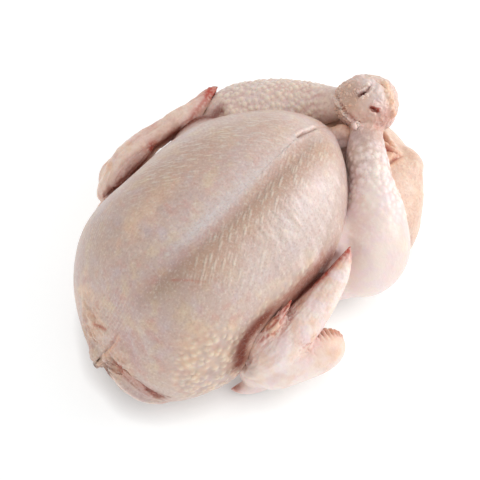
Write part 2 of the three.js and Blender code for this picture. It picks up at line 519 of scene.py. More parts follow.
class Recipe:
    """One material, with its shader and the nodes that feed it."""

    def __init__(self, name):
        self.material = bpy.data.materials.new(name)
        self.material.use_nodes = True
        self.tree = self.material.node_tree
        self.shader = self.tree.nodes["Principled BSDF"]
        self.place = self.add("ShaderNodeTexCoord", out="Object")

    def set(self, socket, value):
        """Puts a value on a socket, or links to it."""
        if isinstance(value, Amount):
            self.tree.links.new(value.socket, socket)
        else:
            socket.default_value = value

    def add(self, kind, settings=None, inputs=None, out=0):
        node = self.tree.nodes.new(kind)
        for name, value in (settings or {}).items():
            setattr(node, name, value)
        for name, value in (inputs or {}).items():
            self.set(node.inputs[name], value)
        return Amount(self, node.outputs[out])

    def noise(self, size, detail):
        """Noise about 0.5, with lumps of about size millimetres."""
        sizes = {"Vector": self.place, "Scale": 1 / (size * MM), "Detail": detail}
        return self.add("ShaderNodeTexNoise", None, sizes, "Fac")

    def ramp(self, value, low, high, to_low=0.0, to_high=1.0):
        """value brought smoothly from the range low..high to 0..1, or to the other two."""
        ends = {0: value, 1: low, 2: high, 3: to_low, 4: to_high}
        return self.add("ShaderNodeMapRange", {"interpolation_type": "SMOOTHSTEP"}, ends)

    def mix(self, share, one, other):
        """one colour turned into the other by share."""
        return self.add("ShaderNodeMix", {"data_type": "RGBA"}, {0: share, 6: one, 7: other}, 2)

    def painted(self, name):
        return self.add("ShaderNodeAttribute", {"attribute_name": name}, out="Fac")


def tone(red, green, blue):
    """A colour as seen on a screen, 0 to 255, turned into the amounts of light a shader takes."""
    return (*(((v / 255 + 0.055) / 1.055) ** 2.4 for v in (red, green, blue)), 1.0)


def make_raw_skin():
    """Damp plucked skin: pale pink, with cream fat showing through, pores and bloodshot places."""
    skin = Recipe("raw skin")
    tint = {name: skin.painted(name) for name in TINTS}
    colour = skin.mix(skin.ramp(skin.noise(45, 3), 0.35, 0.65), tone(211, 187, 175), tone(204, 179, 173))
    colour = skin.mix(skin.ramp(skin.noise(16, 4), 0.46, 0.7) * 0.62, colour, tone(225, 202, 168))
    colour = skin.mix(skin.ramp(skin.noise(9, 4), 0.48, 0.72) * 0.5, colour, tone(212, 156, 146))
    colour = skin.mix(skin.ramp(skin.noise(20, 3), 0.5, 0.72) * 0.62, colour, tone(207, 189, 195))
    # A grey-brown, used for the skin's own brown mottling and also as painted shade in creases, furrows and
    # on sides turned from the lamp.
    colour = skin.mix(tint["dusk"] * 0.85, colour, tone(176, 146, 128))
    colour = skin.mix(tint["milky"], colour, tone(222, 211, 209))
    pale = skin.mix(skin.ramp(skin.noise(13, 3), 0.4, 0.62), tone(251, 234, 224), tone(249, 229, 227))
    colour = skin.mix(tint["pale"], colour, pale)
    fat = tint["fat"] * skin.ramp(skin.noise(5, 3), 0.2, 0.6, 0.6, 1.0)
    colour = skin.mix(fat, colour, tone(240, 200, 168))
    red = tint["blood"] * skin.ramp(skin.noise(3, 4), 0.3, 0.6, 0.5, 1.0)
    colour = skin.mix(red, colour, tone(190, 78, 62))
    flow = {"X": tint["along"] * 0.085, "Y": tint["across"] * 0.35, "Z": 0.0}
    flow = skin.add("ShaderNodeCombineXYZ", None, flow)
    cells = {"Vector": flow, "Scale": 1.0, "Randomness": 0.75}
    stroke = skin.add("ShaderNodeTexVoronoi", {"feature": "F1"}, cells, "Distance")
    stroke = skin.ramp(stroke, 0.62, 0.1)
    # Streaks: cream on the ridges and brown between them, partly the skin's own colour and partly painted
    # highlight and shade.
    colour = skin.mix(tint["streaks"] * (1 - stroke) * 0.5, colour, tone(200, 158, 130))
    colour = skin.mix(tint["streaks"] * stroke * 0.5, colour, tone(236, 220, 196))
    spots = {"Scale": 1 / (5.0 * MM), "Randomness": 0.8, "Vector": skin.place}
    spots = skin.add("ShaderNodeTexVoronoi", {"feature": "F1"}, spots, "Distance")
    bare = 1 - tint["smoothed"]
    pore = skin.ramp(spots, 0.32, 0.1) * skin.ramp(skin.noise(11, 2), 0.35, 0.6) * bare
    colour = skin.mix(skin.ramp(spots, 0.3, 0.7) * 0.16 * bare, colour, tone(190, 154, 138))
    colour = skin.mix(pore * 0.28, colour, tone(236, 222, 206))
    colour = skin.mix(tint["pimple"] * 0.6, colour, tone(243, 226, 200))
    # A dark red-brown, used for red flesh and also as painted shade in creases, cuts and hollows; the coat is
    # thinned where it lies.
    colour = skin.mix(tint["deep"], colour, tone(114, 46, 24))
    wave = skin.add("ShaderNodeMath", {"operation": "SINE"}, {0: tint["ripple"] + skin.noise(7, 2) * 3.0})
    colour = skin.mix(skin.ramp(wave, -0.2, 1.0) * tint["arcs"] * 0.3, colour, tone(238, 222, 206))
    fine = skin.noise(1.9, 3)
    colour = skin.mix(skin.ramp(fine, 0.52, 0.75) * 0.36 * bare, colour, tone(240, 224, 212))
    colour = skin.mix(skin.ramp(fine, 0.48, 0.3) * 0.3 * bare, colour, tone(176, 138, 122))
    skin.set(skin.shader.inputs["Base Color"], colour)
    gloss = skin.ramp(skin.noise(6, 3), 0.3, 0.7, 0.36, 0.5) - tint["pimple"] * 0.08
    skin.set(skin.shader.inputs["Roughness"], gloss)
    grain = fine * 0.22 * (1 - tint["smoothed"] * 0.7) + skin.noise(3.2, 3) * 0.4 + skin.noise(8, 3) * 0.7
    grain = grain + tint["streaks"] * stroke * 0.8 + pore * 0.2 + wave * tint["arcs"] * 0.16
    bump = skin.add("ShaderNodeBump", None, {"Height": grain, "Distance": 0.001, "Strength": 0.8})
    skin.set(skin.shader.inputs["Normal"], bump)
    skin.set(skin.shader.inputs["Subsurface Weight"], 0.2)
    skin.set(skin.shader.inputs["Subsurface Radius"], (1.0, 0.42, 0.28))
    skin.set(skin.shader.inputs["Subsurface Scale"], 0.003)
    skin.set(skin.shader.inputs["IOR"], 1.4)
    skin.set(skin.shader.inputs["Coat Weight"], 0.35 - tint["deep"] * 0.32)
    skin.set(skin.shader.inputs["Coat Roughness"], 0.25)
    return skin.material


raw_skin = make_raw_skin()

body = bmesh.new()
add_rounded(body, breast_shape, 6)
rump_shape = limb_shape(
    [[-20, -2, 42], [60, -3, 42], [120, -5, 42], [182, -8, 44]],
    [[0, 80, 42], [0.4, 92, 44], [0.75, 92, 42], [1, 72, 36]],
)
add_rounded(body, rump_shape, 4)
rump_edge = limb_shape(
    [[146, -14, 50], [158, -44, 50], [149, -60, 42], [134, -70, 35], [110, -86, 28], [88, -100, 24]],
    [[0, 12, 14], [0.25, 18, 20], [0.42, 15, 20], [0.7, 18, 22], [1, 14, 18]],
)
add_rounded(body, rump_edge)
neck_shape = limb_shape(
    [[-140, 34, 24], [-155, 4, 20], [-152, -28, 18], [-132, -56, 18]],
    [[0, 14, 16], [0.35, 17, 18], [0.7, 18, 18], [1, 15, 16]],
)
add_rounded(body, neck_shape)
tail_lump = limb_shape([[108, 7, 88], [116, -1, 97], [121, -9, 89]], [[0, 6, 7], [0.5, 8, 7.5], [1, 5, 6]])
add_rounded(body, tail_lump)
vent_fold = limb_shape([[104, -4, 84], [112, -10, 88], [120, -15, 84]], [[0, 6, 6], [0.5, 6.5, 7], [1, 5, 5]])
add_rounded(body, vent_fold)
body = Skin("body", body, 1.4)
neck_side = body.spot((-172, -30, 56), (26, 52, 40))
keel_end = body.spot((76, -2, 130), (36, 12, 20))
low_front = body.spot((-118, -86, 74), (44, 26, 44))
body.refine(np.maximum(np.maximum(neck_side, keel_end), low_front) > 0.3)
body.relax(12)

# The keel bone shows as a pale taut band, partly its own pale skin and partly a painted highlight, with a
# pink and then a greyish hollow on its near side, the grey being painted shade where that side faces away
# from the lamp, and a darker patch near the keel's front end.
x, y, z = body.p.T
over = smooth(z, 70, 110)
keel = body.line(
    [(-139, -8, 122), (-102, -18, 144), (-64, -21, 152), (-19, -18, 154), (31, -10, 148), (56, -4, 140)]
)
_, off_keel, share = keel
lit = smooth(share, 0.1, 0.42) * (1 - 0.35 * smooth(share, 0.55, 0.85))
body.push(1.0 * beside(keel, 4.5) * lit - 1.2 * beside(keel, 5, -11))
body.tint(milky=(0.85 * beside(keel, 4.5, 1) + 0.4 * beside(keel, 15, 5)) * lit)
body.tint(blood=0.16 * beside(keel, 6, -8))
body.tint(dusk=0.75 * beside(keel, 7, -17) * (1 - 0.6 * smooth(share, 0.75, 0.95)))
body.tint(dusk=0.5 * body.spot((-118, -40, 140), (26, 16, 20)))
# Skin pulled into short ridges beside the keel: slanting on the near lobe, level on the far one.
near_ridges = body.line(
    [(-95, -48, 146), (-66, -45, 151), (-30, -40, 153), (1, -35, 153), (34, -30, 147), (70, -24, 133)]
)
far_ridges = body.line([(-60, 44, 147), (-20, 38, 152), (10, 32, 151), (40, 24, 146)])
body.grain(z > 60, (-0.87, -0.55, 0), (0.55, -0.87, 0))
body.grain(off_keel > 0, (0.72, -0.69, 0), (0.69, 0.72, 0))
body.tint(streaks=beside(near_ridges, 15) * over + 1.0 * beside(far_ridges, 30) * over)
body.tint(streaks=0.4 * body.spot((-64, -66, 138), (26, 22, 22)))
body.tint(dusk=0.34 * beside(near_ridges, 20) + 0.1 * smooth(y, 10, 40) * over)
body.tint(milky=0.5 * body.spot((-10, -64, 130), (66, 28, 40)))
# The incision at the tail end of the keel, its pale lips and painted shade inside the cut, the seam below it
# with painted shade along its groove, and a nick in the lobe.
slit = body.line([(58, -3, 139), (67, -2, 135), (76, -2, 131), (84, -1, 127)])
body.push(-1.6 * beside(slit, 1.3) + 0.7 * beside(slit, 1.8, 3) + 0.7 * beside(slit, 1.8, -3))
body.tint(deep=0.6 * beside(slit, 0.9))
body.tint(pale=0.7 * beside(slit, 1.6, 2.6) + 0.8 * body.spot((48, -3, 144), (4, 3, 4)))
seam = body.line([(84, -1, 127), (96, 0, 117), (106, 0, 105)])
body.push(-0.8 * beside(seam, 1.3))
body.tint(dusk=0.6 * beside(seam, 1.3))
nick = body.line([(-116, -35, 140), (-108, -44, 141), (-99, -54, 140)])
body.push(-0.5 * beside(nick, 1.3))
body.tint(blood=0.5 * beside(nick, 1.1))
# Cream and orange-brown mottling over the far lobe and under the near one.
for centre, radius, strength in (
    ((-89, 20, 152), (26, 14, 20), 0.5),
    ((-120, 23, 138), (20, 16, 20), 0.4),
    ((-55, 30, 152), (22, 12, 20), 0.3),
    ((-128, -78, 100), (26, 22, 30), 0.45),
    ((-158, 36, 80), (14, 22, 30), 0.6),
):
    blotch = body.spot(centre, radius) * smooth(cloud(body.p, 9, 3), -0.4, 0.5)
    body.tint(fat=strength * blotch)
    body.tint(dusk=0.8 * strength * body.spot(centre, radius) * smooth(cloud(body.p, 6, 4), 0.1, 0.6))
body.tint(milky=0.4 * body.spot((25, 22, 152), (28, 18, 20)) + 0.35 * body.spot((-62, -72, 134), 18))
body.tint(pale=0.35 * body.spot((44, -50, 136), (45, 26, 26)) + 0.3 * body.spot((85, 0, 122), 24))
# Big creamy follicles over the low near front, running on as a fringe above the near wing.
pores = rows_of_pores(breast_shape, -0.97, 0.97, 7.5, 0.6)
low_front = smooth(body.spot((-122, -84, 74), (36, 26, 40)), 0.1, 0.6)
fringe = body.line([(-104, -92, 84), (-86, -91, 96), (-64, -89, 101), (-40, -88, 104), (-12, -86, 106)])
low_front = np.maximum(low_front, 0.8 * beside(fringe, 8))
body.pimples(pores, 2.3, 1.5, low_front)
body.tint(fat=0.45 * low_front * smooth(cloud(body.p, 7, 8), -0.2, 0.5))
body.tint(dusk=0.35 * low_front * smooth(cloud(body.p, 5, 18), 0.0, 0.5), smoothed=low_front)
# Painted shade over the far lobe's front, which faces away from the lamp.
body.tint(dusk=0.4 * body.spot((-128, 44, 122), (30, 34, 34)))
sparse = smooth(cloud(body.p, 16, 7), 0.0, 0.7)
body.pimples(rows_of_pores(breast_shape, -0.97, 0.97, 8.0, 0.8), 1.1, 0.4, 0.5 * sparse * (0.4 + 0.6 * over))
# Fine pale wrinkles run down the near lobe's side: paler crests and darker furrows, partly the skin's own
# colour and partly painted highlight and shade.
drawn = cloud(body.p * (1, 0.22, 0.22), 3.2, 51)
slope = smooth(body.spot((6, -64, 130), (84, 34, 46)), 0.1, 0.6) * smooth(-y, 34, 56)
body.push(0.45 * slope * drawn)
body.tint(pale=0.4 * slope * smooth(drawn, 0.15, 0.7), dusk=0.3 * slope * smooth(-drawn, 0.15, 0.7))
# Fine arcs of wrinkled skin round the wing root and down the front.
ripple = np.linalg.norm(body.p - np.array([-120, 96, 90]), axis=1)
body.tints["ripple"] = ripple * 2 * math.pi / 3.2
body.tint(arcs=0.7 * body.spot((-118, 60, 118), (26, 22, 22)) + 0.8 * body.spot((-155, -4, 100), 22))
body.tint(arcs=0.7 * body.spot((-66, -72, 132), (22, 14, 18)))
body.tint(arcs=0.5 * body.spot((10, 58, 144), (40, 16, 20)))
# Loose neck skin: a wrinkled flap with a cut lip over the far front, and below it a pale fold of
# the near lobe's edge, with the red flesh of the neck between them.
lip = body.line([(-163, -17, 84), (-169, -16, 73), (-173, -13, 64), (-177, -10, 52), (-178, -6, 40)])
_, off_lip, share = lip
held = beside(lip, 15, 8) * smooth(off_lip, -0.7, 0.7) * smooth(share, 0.0, 0.35)
body.push(3.4 * held - 1.7 * beside(lip, 2.0, -2.2) * smooth(share, 0.0, 0.3))
body.push(7.0 * body.spot((-176, -1, 44), (12, 8, 9)) + 2.0 * body.spot((-168, 18, 62), 18))
body.push(-12.0 * body.spot((-181, -14, 22), (16, 12, 18)) - 4.0 * body.spot((-181, -17, 50), (9, 7, 8)))
# Painted shade in the notch under the flap's corner and in the hollow below it.
body.tint(deep=0.9 * body.spot((-178, -17, 46), (7, 5, 9)) + 0.6 * body.spot((-172, -12, 30), (14, 9, 12)))
flap = np.maximum(held, body.spot((-168, 10, 64), (20, 24, 34)))
creases = 1 - np.abs(cloud(body.p * (1, 0.6, 1.3), 7, 5)) * 2.4
body.push(1.9 * flap * creases + 0.7 * flap * cloud(body.p, 3, 45))
body.tint(dusk=0.3 * flap)
body.tint(fat=0.62 * flap * smooth(cloud(body.p, 12, 6), -0.6, 0.3) + 0.5 * beside(lip, 1.8, 1.2))
# Painted shade in the flap's furrows and in the groove under its lip.
body.tint(dusk=0.75 * flap * smooth(creases, -0.1, -0.9) + 0.5 * beside(lip, 2.2, -1.5))
body.tint(blood=0.35 * flap * smooth(creases, -0.3, -1.1))
nip = body.line([(-167, 9, 74), (-166, 4, 76), (-165, -2, 78)])
body.push(-1.2 * beside(nip, 1.5))
body.tint(blood=0.7 * beside(nip, 1.5), milky=0.45 * body.spot((-170, -5, 68), (9, 8, 12)))
upper_lip = body.line([(-164, -17, 83), (-169, -16, 73), (-173, -15, 64)])
body.tint(blood=0.5 * beside(upper_lip, 1.3, -1.5) + 0.4 * beside(upper_lip, 1.3, 2.5))
fold = body.line([(-175, -15, 58), (-178, -24, 48), (-178, -38, 36), (-172, -54, 26), (-158, -72, 18)])
body.push(2.4 * beside(fold, 2.6) - 1.8 * beside(fold, 3.5, 6))
flesh = body.line(
    [(-172, -19, 66), (-174, -27, 59), (-174, -38, 53), (-172, -48, 49), (-167, -59, 43), (-159, -70, 35)]
)
_, off_flesh, share = flesh
run = smooth(share, 0.02, 0.2) * (1 - smooth(share, 0.85, 1.0))
fibres = 2 * strands(flesh, 16, 2.2, 9)
band = np.exp(-((off_flesh / 6.5) ** 4)) * beside(flesh, 14) * run
body.push(-1.5 * band - 1.3 * smooth(fibres, 0.0, 0.6) * band + 1.1 * beside(flesh, 1.6, 7) * run)
body.tint(blood=band * (0.34 + 0.4 * smooth(fibres, -0.4, 0.5)), dusk=0.6 * band)
body.tint(deep=0.75 * band * smooth(fibres, 0.15, 0.6) * smooth(share, 0.1, 0.5))
body.tint(deep=0.7 * beside(flesh, 1.3, 6.5) * smooth(share, 0.5, 0.75) * (1 - smooth(share, 0.97, 1)))
body.tint(pale=0.75 * beside(fold, 1.5))
# Soft pink and lavender pleats fan out from the lip across the near front.
fan = body.spot((-160, -44, 86), (26, 30, 34)) * (1 - band)
pleats = strands(flesh, 45, 6, 41)
body.push(0.7 * fan * pleats)
body.tint(blood=0.28 * fan * smooth(pleats, 0.0, -0.6), milky=0.5 * fan * smooth(pleats, 0.0, 0.6))
# The sunken crease between the breast and the near wing, painted dark with red-brown shade, the pale skin at
# its lower end, and a line of painted shade under the breast's edge where it meets the near leg.
crease = body.line(
    [(18, -84, 84), (-10, -90, 76), (-40, -93, 70), (-70, -93, 62), (-94, -90, 50), (-106, -90, 24)]
)
_, _, share = crease
body.push(-5.0 * beside(crease, 22) * smooth(share, 0, 0.3) * (1 - smooth(share, 0.62, 0.82)))
shade = body.line(
    [(4, -85, 97), (-14, -87, 94), (-37, -88, 92), (-62, -91, 92), (-80, -92, 91)]
    + [(-95, -94, 85), (-102, -96, 64)]
)
_, _, share = shade
hairs = strands(shade, 1.5, 9, 52)
body.push(0.6 * hairs * beside(shade, 12, 8))
begun = smooth(share, 0, 0.15)
body.tint(dusk=(0.65 + 0.35 * smooth(share, 0.35, 0.6)) * beside(shade, 15) * begun)
body.tint(dusk=0.5 * smooth(hairs, 0.0, 0.5) * beside(shade, 14, 10) * begun)
body.tint(blood=0.32 * beside(shade, 8))
body.tint(deep=(0.2 + 0.9 * smooth(share, 0.4, 0.62)) * beside(shade, 9) * begun)
body.tint(deep=0.9 * body.spot((11, -87, 83), (14, 8, 11)))
body.tint(pale=0.3 * smooth(-hairs, 0.2, 0.7) * beside(shade, 10, 12))
gap = body.line([(14, -84, 78), (-20, -88, 74), (-56, -90, 66), (-86, -88, 50), (-100, -88, 26)])
body.tint(dusk=0.95 * beside(gap, 15), blood=0.6 * beside(gap, 14))
breast_edge = body.line([(70, -46, 110), (47, -63, 114), (26, -75, 108), (8, -84, 98), (0, -88, 90)])
body.tint(dusk=0.7 * beside(breast_edge, 4, -5), milky=0.7 * body.spot((-109, -90, 22), (14, 14, 18)))
# The far lobe rises full over the far wing, and the crease under its edge is painted dark with shade.
body.push(4.5 * body.spot((34, 85, 110), (44, 22, 26)))
body.push(-2.5 * body.spot((-66, 84, 112), (30, 18, 20)))
far_crease = body.line([(-72, 102, 74), (-62, 104, 72), (-30, 103, 66), (0, 98, 66), (30, 92, 72)])
body.push(-6.0 * beside(far_crease, 10))
body.tint(dusk=0.8 * beside(far_crease, 14), deep=0.7 * beside(far_crease, 11))
# The vent behind the breast tip, and the fatty rump with folds drawn towards the near leg's shank.
body.push(-6.0 * body.spot((108, -18, 84), (9, 8, 12)))
body.tint(fat=0.62 * smooth(x, 96, 118) * (1 - 0.9 * body.spot((108, -14, 86), (10, 12, 16))))
# The rump is paler, and a bright orange patch at the vent is painted light, standing in for light shining
# through its thin skin in the shade between the legs.
body.tint(pale=0.25 * smooth(x, 96, 118), fat=1.0 * body.spot((120, 2, 94), (12, 8, 20)))
body.tint(blood=0.35 * body.spot((117, -4, 96), (14, 10, 14)) + 0.35 * body.spot((113, -15, 83), 8))
# Painted shade in the vent's dark V and in the hollow beside the breast tip.
body.tint(deep=0.9 * body.spot((121, -10, 89), (6, 4, 5)) + 0.25 * body.spot((128, -14, 82), (8, 6, 8)))
body.tint(deep=0.4 * body.spot((102, -24, 84), (7, 7, 12)))
# Each fold is a dark red line, partly the skin's own colour and partly painted shade, with a painted
# highlight on the raised lip beside it.
for folded in (
    [(156, -21, 74), (151, -30, 76), (150, -38, 76), (152, -47, 73)],
    [(140, -34, 79), (144, -41, 79), (147, -46, 75), (152, -52, 71)],
    [(134, -51, 79), (141, -50, 76), (148, -50, 73), (155, -51, 70)],
):
    tuck = body.line(folded)
    _, _, share = tuck
    fading = 1 - smooth(share, 0.5, 1.0)
    raised = 1.8 * beside(tuck, 3, 4.5) + 0.8 * cloud(body.p, 5, 65) * beside(tuck, 8)
    body.push((raised - 2.8 * beside(tuck, 1.5)) * fading)
    body.tint(blood=0.6 * beside(tuck, 1.4) * fading + 0.15 * beside(tuck, 5) * fading)
    body.tint(deep=0.5 * beside(tuck, 1.2) * smooth(share, 0.6, 0.1))
    body.tint(fat=0.6 * beside(tuck, 5) * fading, pale=0.7 * beside(tuck, 2.0, 5) * fading)
# Red, with painted shade, where the folds meet the shank.
body.tint(blood=0.7 * body.spot((143, -37, 78), (4, 4, 4)))
body.tint(deep=0.3 * body.spot((143, -36, 78), (3, 3, 4)))
body.push(1.6 * body.spot((116, -3, 96), (12, 10, 12)) * cloud(body.p, 6, 66))
rear = smooth(x, 118, 140)
patchy = 0.6 * rear * smooth(cloud(body.p, 18, 67), -0.5, 0.3)
body.pimples(rows_of_pores(rump_shape, -0.2, 0.97, 8.0, 0.8), 1.6, 0.45, patchy)
body.tint(dusk=0.2 * rear * smooth(cloud(body.p, 8, 68), 0.0, 0.6))
body.tint(milky=0.2 * rear * smooth(cloud(body.p, 16, 69), 0.1, 0.7))
body.push(1.0 * smooth(x, 110, 130) * cloud(body.p, 22, 46))
body.tint(blood=0.12 * smooth(x, 104, 126) * smooth(cloud(body.p, 14, 47), 0.0, 0.5))
notch = body.line([(160, -66, 50), (158, -72, 38), (156, -74, 24)])
body.push(-5.0 * beside(notch, 5))
body.tint(blood=0.2 * beside(notch, 5))
body.finish()

# ------------------------------------------------------------------------------------------------
# Near leg: a short thick thigh and a drumstick, lying along the side with the knee forward. Its
# shank swells into the hock, where the foot was cut off: wrinkled skin round pale wet gristle.

NEAR_DRUMSTICK = [
    [22, -68, 42],
    [62, -83, 47],
    [86, -71, 66],
    [104, -49, 80],
    [118, -30, 90],
    [131, -16, 98],
    [147, 2, 104],
]
HOCK_RADIUS = 27.0

leg = bmesh.new()
near_thigh = limb_shape(
    [[-24, -42, 52], [24, -56, 50], [84, -62, 46]],
    [[0, 34, 34], [0.5, 38, 38], [1, 34, 34]],
)
near_drumstick = limb_shape(
    NEAR_DRUMSTICK,
    [[0, 33, 33], [0.235, 41, 42], [0.43, 30, 32], [0.6, 20.5, 23], [0.745, 19, 19.5]]
    + [[0.86, 17.5, 17], [1, 20, 18]],
)
near_knee = limb_shape(
    [[14, -58, 42], [38, -72, 38], [74, -87, 38]],
    [[0, 28, 30], [0.5, 31, 33], [1, 29, 33]],
)
hock_shape = limb_shape(
    [[134, 29, 104], [150, 4, 106], [167, -22, 103]],
    [[0, 19, 16], [0.5, HOCK_RADIUS, HOCK_RADIUS - 3], [1, HOCK_RADIUS - 2, HOCK_RADIUS - 4]],
    3.0,
)
for part in (near_thigh, near_drumstick, near_knee, hock_shape):
    add_rounded(leg, part, 3)
leg = Skin("near_leg", leg, 0.9)
leg.refine(leg.spot((148, -6, 116), (34, 34, 30)) > 0.35)
leg.relax(24)
y = leg.p[:, 1]
knob = smooth(leg.spot((150, -4, 106), (34, 34, 34)), 0.32, 0.5)
leg.relax(24, 1 - knob)
# The leg is pale except towards the body, and less pale on the side facing the lamp: painted shade that tones
# down the lamp's light.
lit = smooth(leg.n @ (0.72, -0.69, 0.1), 0.2, 0.9)
leg.tint(pale=0.85 * smooth(-y, 26, 74) * (1 - 0.5 * lit) + 0.1)
plucked = smooth(leg.spot((98, -58, 84), (42, 44, 46)), 0.05, 0.9)
pores = rows_of_pores(near_drumstick, -0.6, 0.9, 7.0, 0.7)
tops = leg.pimples(pores, 2.7, 0.85, plucked, "pale")
# Painted shade between the follicles, most on the side towards the body.
dips = plucked * (1 - smooth(tops, 0.1, 0.6))
leg.tint(dusk=0.36 * dips * smooth(-y, 78, 30))
leg.tint(blood=0.16 * dips * smooth(cloud(leg.p, 14, 48), -0.5, 0.4))
# Painted shade down the shank's inner side, next to the breast tip and vent.
shank = leg.line([(121, -26, 98), (112, -32, 92), (100, -38, 88), (92, -46, 82)])
leg.tint(dusk=0.7 * beside(shank, 7, 2), deep=0.45 * beside(shank, 5, 3))
leg.tint(milky=0.4 * leg.spot((80, -74, 96), (24, 26, 22)))
leg.tint(blood=0.18 * leg.spot((50, -84, 86), 22) + 0.2 * leg.spot((128, -24, 104), 16))
leg.tint(smoothed=smooth(-y, 40, 80))
# Between the breast and the wing's tip the thigh is painted with shade, and its skin hangs there in two pale
# folds.
leg.tint(dusk=0.9 * leg.spot((20, -82, 92), (18, 14, 22)))
leg.tint(deep=0.75 * leg.spot((10, -84, 80), (16, 10, 14)))
leg.tint(deep=0.5 * leg.spot((26, -86, 80), (6, 7, 7)))
for hung in ([(27, -76, 112), (20, -82, 99), (18, -86, 86)], [(36, -78, 106), (30, -83, 94), (27, -86, 86)]):
    hanging = leg.line(hung)
    leg.push(1.8 * beside(hanging, 2.2) - 1.0 * beside(hanging, 2, 3.5))
    leg.tint(pale=0.6 * beside(hanging, 2.2))
# The hock: wrinkled scales whose grooves are darker, partly their own brown and partly painted shade, a slit
# with cream lips on top and painted shade inside it, a red hollow beside it whose dark middle is painted
# shade, grey gristle and a rim of fat.
leg.push(knob * (1.0 * cloud(leg.p, 12, 11) + 0.8 * cloud(leg.p, 4.5, 12)))
leg.tint(smoothed=knob, pale=0.25 * knob, blood=0.07 * knob)
scales = smooth(leg.spot((132, 14, 116), (24, 24, 26)), 0.35, 0.7)
warped = leg.p + 1.8 * np.stack([cloud(leg.p, 5, seed) for seed in (60, 61, 62)], 1)
inside = leg.cells(rows_of_pores(hock_shape, -0.95, 0.95, 5.0, 1.0), scales, warped)
leg.push(scales * (1.8 * smooth(inside, 0, 2.4) - 0.9))
leg.tint(fat=0.25 * scales * smooth(inside, 0.4, 2.2) + 0.25 * scales + 0.12 * knob)
leg.tint(dusk=0.8 * scales * smooth(inside, 1.5, 0.3), deep=0.2 * scales * smooth(inside, 0.9, 0.1))
# Fine crinkles over the rest of the knob, with painted shade in their furrows.
crinkles = 1 - 3 * np.abs(cloud(leg.p * (1, 1, 1.6), 6, 70))
leg.push(0.5 * knob * (1 - scales) * crinkles)
leg.tint(dusk=0.3 * knob * (1 - scales) * smooth(crinkles, -0.1, -0.9))
# Painted shade on the knob's side that faces away from the lamp.
leg.tint(dusk=0.5 * leg.spot((130, -2, 116), (12, 12, 12)))
leg.tint(fat=0.4 * leg.spot((132, -8, 118), (12, 12, 10)))
split = leg.line([(137, -2, 127), (141, -4, 128), (146, -5, 128), (153, -3, 129)])
_, _, share = split
gape = smooth(share, 0.0, 0.12) * (1 - smooth(share, 0.34, 0.5)) + 0.3 * (1 - smooth(share, 0.8, 1))
lips = 2.6 * beside(split, 1.3, 2.6) + 2.4 * beside(split, 1.3, -2.6) * gape
leg.push(lips - 5.0 * beside(split, 1.5) * gape)
leg.tint(pale=1.4 * beside(split, 1.3, 2.6) + 1.3 * beside(split, 1.3, -2.6) * gape)
leg.tint(deep=2.0 * beside(split, 1.3) * gape)
hollow = leg.line([(139, -17, 122), (140, -19, 121), (141, -22, 120)])
leg.push(1.2 * beside(hollow, 2.0, 2.8) + 1.5 * beside(hollow, 1.6, -2.6) - 2.4 * beside(hollow, 1.6))
leg.tint(pale=1.0 * beside(hollow, 1.3, -2.8) + 0.5 * beside(hollow, 3.5, 4))
leg.tint(blood=1.0 * beside(hollow, 2.0, 0.6), deep=0.9 * beside(hollow, 0.9, -0.4))
gristle = leg.line([(154, 1, 129), (155, -8, 128), (151, -16, 127)])
leg.push(1.4 * beside(gristle, 4.0) - 0.8 * beside(gristle, 1.5, 5))
leg.tint(milky=1.0 * beside(gristle, 5.5))
leg.tint(pale=0.6 * beside(gristle, 1.6, 5.5) + 0.5 * beside(gristle, 1.6, -5.5))
rim = leg.line([(163, -8, 126), (160, -19, 124), (156, -26, 120), (152, -31, 113)])
leg.push(1.8 * beside(rim, 3) * (1 + 1.0 * cloud(leg.p, 4, 14)))
leg.tint(fat=0.8 * beside(rim, 5), pale=0.5 * beside(rim, 2.5, -2))
leg.tint(blood=0.3 * leg.spot((148, -28, 114), 10) + 0.25 * leg.spot((138, -25, 106), 12))
# A thin pale fold of skin runs round under the hock, with painted shade in the grooves either side of it and
# a white scrap of gristle in its low end.
wrap = leg.line(
    [(129, 20, 114), (124, 11, 114), (121, 2, 113), (121, -7, 111), (124, -16, 107), (132, -25, 104)]
)
leg.push(2.2 * beside(wrap, 1.5) - 1.6 * beside(wrap, 1.3, 3) - 1.4 * beside(wrap, 1.3, -3))
leg.tint(pale=1.0 * beside(wrap, 1.4), dusk=0.9 * beside(wrap, 1.3, 3) + 0.8 * beside(wrap, 1.3, -3))
leg.tint(blood=0.4 * beside(wrap, 1.3, 3) + 0.3 * beside(wrap, 1.3, -3))
scrap = leg.spot((121, -17, 112), (4, 5, 4))
leg.push(3.4 * scrap * (0.5 + 2.0 * np.abs(cloud(leg.p, 3.0, 49))))
leg.tint(milky=1.2 * scrap, pale=0.8 * scrap)
leg.finish(190000)

# ------------------------------------------------------------------------------------------------
# Far leg, the same but lying across the back of the bird, with rows of bare follicles along the top.
# Its shank is tucked under the other leg's hock, behind a thin pale ring of cut skin.

FAR_DRUMSTICK = [
    [28, 86, 50],
    [70, 88, 54],
    [100, 72, 72],
    [122, 50, 84],
    [136, 28, 95],
    [146, 8, 104],
]

